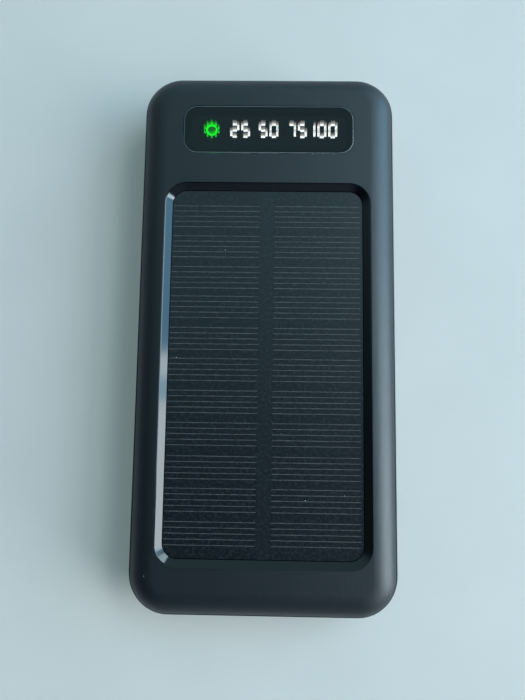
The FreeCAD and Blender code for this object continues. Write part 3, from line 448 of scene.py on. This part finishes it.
def top_faces(node):
    """The upper faces of a CAD node, joined up, as a mesh of their own."""
    shape = bmesh.new()
    shape.from_mesh(nodes[node].data)
    bmesh.ops.remove_doubles(shape, verts=shape.verts, dist=TOUCHING)
    top = max(v.co.z for v in shape.verts)
    low = [f for f in shape.faces if min(v.co.z for v in f.verts) < top - TOUCHING]
    bmesh.ops.delete(shape, geom=low, context="FACES")
    mesh = bpy.data.meshes.new(node + "_tops")
    shape.to_mesh(mesh)
    shape.free()
    return mesh


FINGERS = {"Lines": 5, "Pitch": 1.475 * MM, "Width": 0.19 * MM, "Thickness": 0.02 * MM}
FINGER_COLUMNS = {"left": (-26.0 * MM, -2.05 * MM), "right": (2.0 * MM, 25.4 * MM)}
# Each cell's first line, in mm from the panel's middle towards the display.
FINGER_ROWS = (45.02, 36.49, 27.85, 19.67, 11.03, 2.64, -5.92, -14.43, -23.16, -31.52, -40.03)


def finger_lines(side, finish):
    """One column's printed silver lines, five to a cell, in the film's upper face."""
    start_x, end_x = FINGER_COLUMNS[side]
    sizes = {**FINGERS, "Length": end_x - start_x}
    tree, size = node_tool("finger_comb_" + side, sizes)
    bar = add(tree, "ShaderNodeCombineXYZ", {0: size["Length"], 1: size["Width"], 2: size["Thickness"]})
    line = add(tree, "GeometryNodeMeshCube", {"Size": bar})
    back = add(tree, "ShaderNodeMath", {0: size["Pitch"], 1: -1.0}, operation="MULTIPLY")
    step = add(tree, "ShaderNodeCombineXYZ", {1: back})
    spots = add(tree, "GeometryNodeMeshLine", {"Count": size["Lines"], "Offset": step})
    comb = add(tree, "GeometryNodeInstanceOnPoints", {"Points": spots, "Instance": line})
    rows = add(tree, "GeometryNodeInstanceOnPoints", {"Points": size["Geometry"], "Instance": comb})
    end_tool(tree, rows, finish)
    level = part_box("panel_cover")[1].z
    start = bpy.data.meshes.new("finger_rows")
    start.from_pydata([((start_x + end_x) / 2, BAY_CENTRE + y * MM, level) for y in FINGER_ROWS], [], [])
    grown("panel_fingers_" + side, start, tree, sizes)


SHAFTS = {"Layers": 7, "Rise": 0.37 * MM, "Lean": 0.05 * MM, "Start": 0.2 * MM}


def light_layers(name, node, finish):
    """Thin sheets of light above a lit figure, which make its glow in the thick window."""
    tree, size = node_tool(name + "_layers", SHAFTS)
    step = add(tree, "ShaderNodeCombineXYZ", {1: size["Lean"], 2: size["Rise"]})
    first = add(tree, "ShaderNodeCombineXYZ", {2: size["Start"]})
    spots = add(tree, "GeometryNodeMeshLine", {"Count": size["Layers"], "Start Location": first,
                                               "Offset": step})
    stack = add(tree, "GeometryNodeInstanceOnPoints", {"Points": spots, "Instance": size["Geometry"]})
    end_tool(tree, stack, finish)
    grown(name, top_faces(node), tree, SHAFTS)


def halo(name, node, radius, level, finish):
    """A thin disc of scattered light round a lit figure, inside the window."""
    low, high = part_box(node)
    shape = bmesh.new()
    bmesh.ops.create_circle(shape, cap_ends=True, cap_tris=True, segments=48, radius=radius,
                            matrix=Matrix.Translation(((low.x + high.x) / 2, (low.y + high.y) / 2, level)))
    mesh = bpy.data.meshes.new(name)
    shape.to_mesh(mesh)
    shape.free()
    mesh.materials.append(finish)
    fixed(name, mesh)


RIM = {"Radius": 0.1 * MM, "Sides": 8}
BEVEL = 0.1 * MM


def window_rim(finish):
    """The window's bevelled edge as a fine pale line round its top; its pale colour is a painted highlight
    on the bevel.
    """
    tree, size = node_tool("window_rim", RIM)
    faces = add(tree, "GeometryNodeInputMeshEdgeNeighbors")
    border = add(tree, "FunctionNodeCompare", {"A": faces, "B": 1}, data_type="INT", operation="EQUAL")
    path = add(tree, "GeometryNodeMeshToCurve", {"Mesh": size["Geometry"], "Selection": border})
    ring = add(tree, "GeometryNodeCurvePrimitiveCircle", {"Resolution": size["Sides"],
                                                         "Radius": size["Radius"]})
    swept = add(tree, "GeometryNodeCurveToMesh", {"Curve": path, "Profile Curve": ring})
    end_tool(tree, swept, finish)
    low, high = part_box("display_window")
    middle, half = (low + high) / 2, (high - low) / 2
    top = top_faces("display_window")
    for corner in top.vertices:
        corner.co.x += BEVEL * (corner.co.x - middle.x) / half.x
        corner.co.y += BEVEL * (corner.co.y - middle.y) / half.y
        corner.co.z -= BEVEL
    grown("window_rim", top, tree, RIM)


HALO_RADIUS = 3.4 * MM
HALO_FADE = 3.2 * MM
HALO_HEIGHT = 1.4 * MM

silver = silver_fingers()
finger_lines("left", silver)
finger_lines("right", silver)
glow_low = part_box("digit_diffusers")[1].z
glow_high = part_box("display_window")[1].z
light_layers("digit_glow", "digit_diffusers",
             light_shaft("light_in_acrylic_white", "#FFF0E4", "#060606", 5.2, glow_low, glow_high))
light_layers("sun_glow", "sun_diffuser",
             light_shaft("light_in_acrylic_green", "#0CF016", "#021F04", 8.6, glow_low, glow_high))
halo("sun_halo", "sun_diffuser", HALO_RADIUS, glow_low + HALO_HEIGHT,
     scattered("light_scattered_green", "#0CF018", 4.6, "sun_diffuser", HALO_FADE))
# The rim is lit by the lamps, but its pale grey is a painted highlight along the window's bevel.
window_rim(moulded("acrylic_edge_painted_highlight", "#6E787C", 0.5, 0.15 * MM, 0.002 * MM, 1.49, 0.3))


# ---- stage, light and camera ----

FLOOR_HALF = 1.2
FLOOR_MOTTLE = 30 * MM
FLOOR_LIFT = 0.12   # how much paler the floor is to the camera, with no more light on the charger


def floor():
    """A plain pale matt painted board under the charger, faintly mottled."""
    mesh = bpy.data.meshes.new("floor")
    mesh.from_pydata([(x * FLOOR_HALF, y * FLOOR_HALF, 0) for x, y in ((-1, -1), (1, -1), (1, 1), (-1, 1))],
                     [], [(0, 1, 2, 3)])
    made, tree = material("board_painted_pale")
    where = add(tree, "ShaderNodeTexCoord").outputs["Object"]
    mottle = add(tree, "ShaderNodeTexNoise", {"Vector": where, "Scale": 1 / FLOOR_MOTTLE, "Detail": 4.0})
    seen = add(tree, "ShaderNodeLightPath").outputs["Is Camera Ray"]
    surface(tree, {
        "Base Color": add(tree, "ShaderNodeMix", {"Factor": mottle, "A": linear("#B8B0AB"),
                                                  "B": linear("#C3BAB5")}, data_type="RGBA"),
        "Emission Strength": add(tree, "ShaderNodeMath", {0: seen, 1: FLOOR_LIFT}, operation="MULTIPLY"),
        "Emission Color": (0.80, 1.0, 0.90, 1.0), "Roughness": 0.8, "IOR": 1.45})
    mesh.materials.append(made)
    piece = bpy.data.objects.new("floor", mesh)
    scene.collection.objects.link(piece)


def lamp(name, spot, aim, width, height, colour, radiance):
    """A soft rectangular lamp of that even brightness, where 1 is white."""
    data = bpy.data.lights.new(name, "AREA")
    data.shape = "RECTANGLE"
    data.size, data.size_y = width, height
    data.color = colour
    data.energy = radiance * math.pi * width * height
    piece = bpy.data.objects.new(name, data)
    scene.collection.objects.link(piece)
    piece.location = spot
    piece.rotation_euler = (Vector(aim) - Vector(spot)).to_track_quat("-Z", "Y").to_euler()


WINDOW_AWAY = 1.4


def window(name, start, end, low, high, colour, radiance):
    """An upright lamp to the right, between two bearings from +X and two heights above the table."""
    first, last = (WINDOW_AWAY * math.tan(math.radians(bearing)) for bearing in (start, end))
    spot = (WINDOW_AWAY, (first + last) / 2, (low + high) / 2)
    lamp(name, spot, (0, spot[1], spot[2]), last - first, high - low, colour, radiance)


floor()

WHITE = (0.80, 0.93, 1.0)
POST = (0.42, 0.78, 1.0)
POST_SHARE = 0.72
# Each row's name, lowest and highest edge, white brightness, and blue colour and brightness.
WINDOW_ROWS = (
    ("low", 0.02, 0.62, 10.7, (0.36, 0.70, 1.0), 5.8),
    ("high", 0.62, 1.25, 9.4, (0.26, 0.63, 1.0), 4.1))
for row, low, high, white, sky, blue in WINDOW_ROWS:
    window("window_white_" + row, -33, -0.4, low, high, WHITE, white)
    window("window_post_" + row, -0.4, 2.9, low, high, POST, white * POST_SHARE)
    window("window_edge_" + row, 2.9, 6.5, low, high, WHITE, white)
    window("window_blue_" + row, 6.5, 46, low, high, sky, blue)
lamp("sky_panel", (1.0, 0.43, 1.27), (0, 0, 0), 1.5, 0.45, (0.66, 0.87, 1.0), 7.2)

# The room round the charger. It starts dark overhead on the left, and each row says along which way
# it changes, from where to where, and to what.
OVERHEAD_LEFT = (0.008, 0.02, 0.035, 1.0)
ROOM = (
    ((1.0, 0.0, 0.0), -0.4, 0.4, (0.052, 0.085, 0.12, 1.0)),       # overhead on the right
    ((0.45, -0.9, 0.0), 0.25, 0.8, (0.18, 0.26, 0.35, 1.0)),       # the wall behind
    ((0.0, 1.0, 0.0), -0.08, 0.32, (0.29, 0.53, 0.62, 1.0)),       # the wall ahead
    ((1.0, 0.0, 0.0), -0.5, -0.98, (0.06, 0.09, 0.115, 1.0)))      # the far left

world = bpy.data.worlds.new("room")
scene.world = world
world.use_nodes = True
room = world.node_tree
room.nodes.clear()
towards = add(room, "ShaderNodeTexCoord").outputs["Generated"]
light = OVERHEAD_LEFT
for way, start, end, there in ROOM:
    along = add(room, "ShaderNodeVectorMath", {0: towards, 1: way}, operation="DOT_PRODUCT")
    reached = add(room, "ShaderNodeMapRange", {"Value": along, "From Min": start, "From Max": end},
                  interpolation_type="SMOOTHSTEP")
    light = add(room, "ShaderNodeMix", {"Factor": reached, "A": light, "B": there}, data_type="RGBA")
seen = add(room, "ShaderNodeLightPath").outputs["Is Camera Ray"]
backdrop = add(room, "ShaderNodeMix", {"Factor": seen, "A": light, "B": linear("#C4D3D9")},
               data_type="RGBA")
shown = add(room, "ShaderNodeBackground", {"Color": backdrop, "Strength": 1.0})
add(room, "ShaderNodeOutputWorld", {"Surface": shown})

# The camera looks straight down at first, and is then turned by these angles in radians.
CAMERA_PLACE = (1.33 * MM, -19.33 * MM, 157.3 * MM)
CAMERA_TURN = {"Z": -0.0127, "Y": -0.0152, "X": -0.1038}
LENS_MM = 27.05
SENSOR_MM = 36

camera = bpy.data.objects.new("camera", bpy.data.cameras.new("camera"))
scene.collection.objects.link(camera)
camera.data.lens = LENS_MM
camera.data.sensor_width = SENSOR_MM
camera.data.clip_start = 10 * MM
turn = Matrix.Identity(3)
for axis, angle in CAMERA_TURN.items():
    turn = turn @ Matrix.Rotation(angle, 3, axis)
camera.matrix_world = Matrix.Translation(CAMERA_PLACE) @ turn.transposed().to_4x4()
scene.camera = camera
scene.view_settings.view_transform = "Standard"
